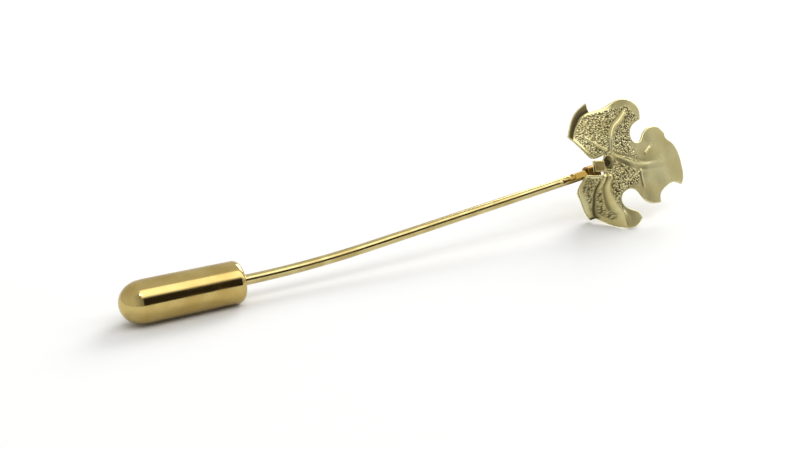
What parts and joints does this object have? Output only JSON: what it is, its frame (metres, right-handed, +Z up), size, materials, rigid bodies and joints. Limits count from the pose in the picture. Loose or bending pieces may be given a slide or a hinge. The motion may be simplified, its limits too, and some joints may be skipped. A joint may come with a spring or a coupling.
{
  "type": "stick pin with clutch",
  "caption": "Bent-wire stick pin with a curled, textured leaf head and a bullet-shaped clutch that slides off the point.",
  "frame": {"origin": "on the table below the wire's straight end, halfway along the whole length, with the pin lying as it rests on its clutch and two points of its leaf", "axes": "+X from the clutch's nose towards the leaf, +Z up, leaf facing -Y"},
  "size_m": [0.067, 0.0077, 0.0137],
  "materials": {
    "leaf_metal": "textured and satin",
    "wire_gold": "drawn, polished",
    "solder": "dull",
    "clutch_gold": "polished gold plate",
    "spring_bronze": "satin",
    "washer_steel": "satin",
    "stop_nylon": "moulded"
  },
  "bodies": {
    "pin": {"leaf": "leaf_metal", "stem": "wire_gold", "solder_joint": "solder"},
    "grip": {"grip_collet": "spring_bronze", "grip_ring": "washer_steel"},
    "barrel": {"clutch_shell": "clutch_gold", "mouth_bush": "clutch_gold", "retaining_washer": "washer_steel", "point_stop": "stop_nylon"}
  },
  "joints": [
    {"name": "clutch_slide", "type": "slide", "parent": "pin", "child": "grip", "axis": [-1, 0, 0], "range_m": [0, 0.03]},
    {"name": "clutch_spin", "type": "hinge", "parent": "grip", "child": "barrel", "pos_m": [-0.0278, 0, 0.00204], "axis": [1, 0, 0], "continuous": true}
  ]
}
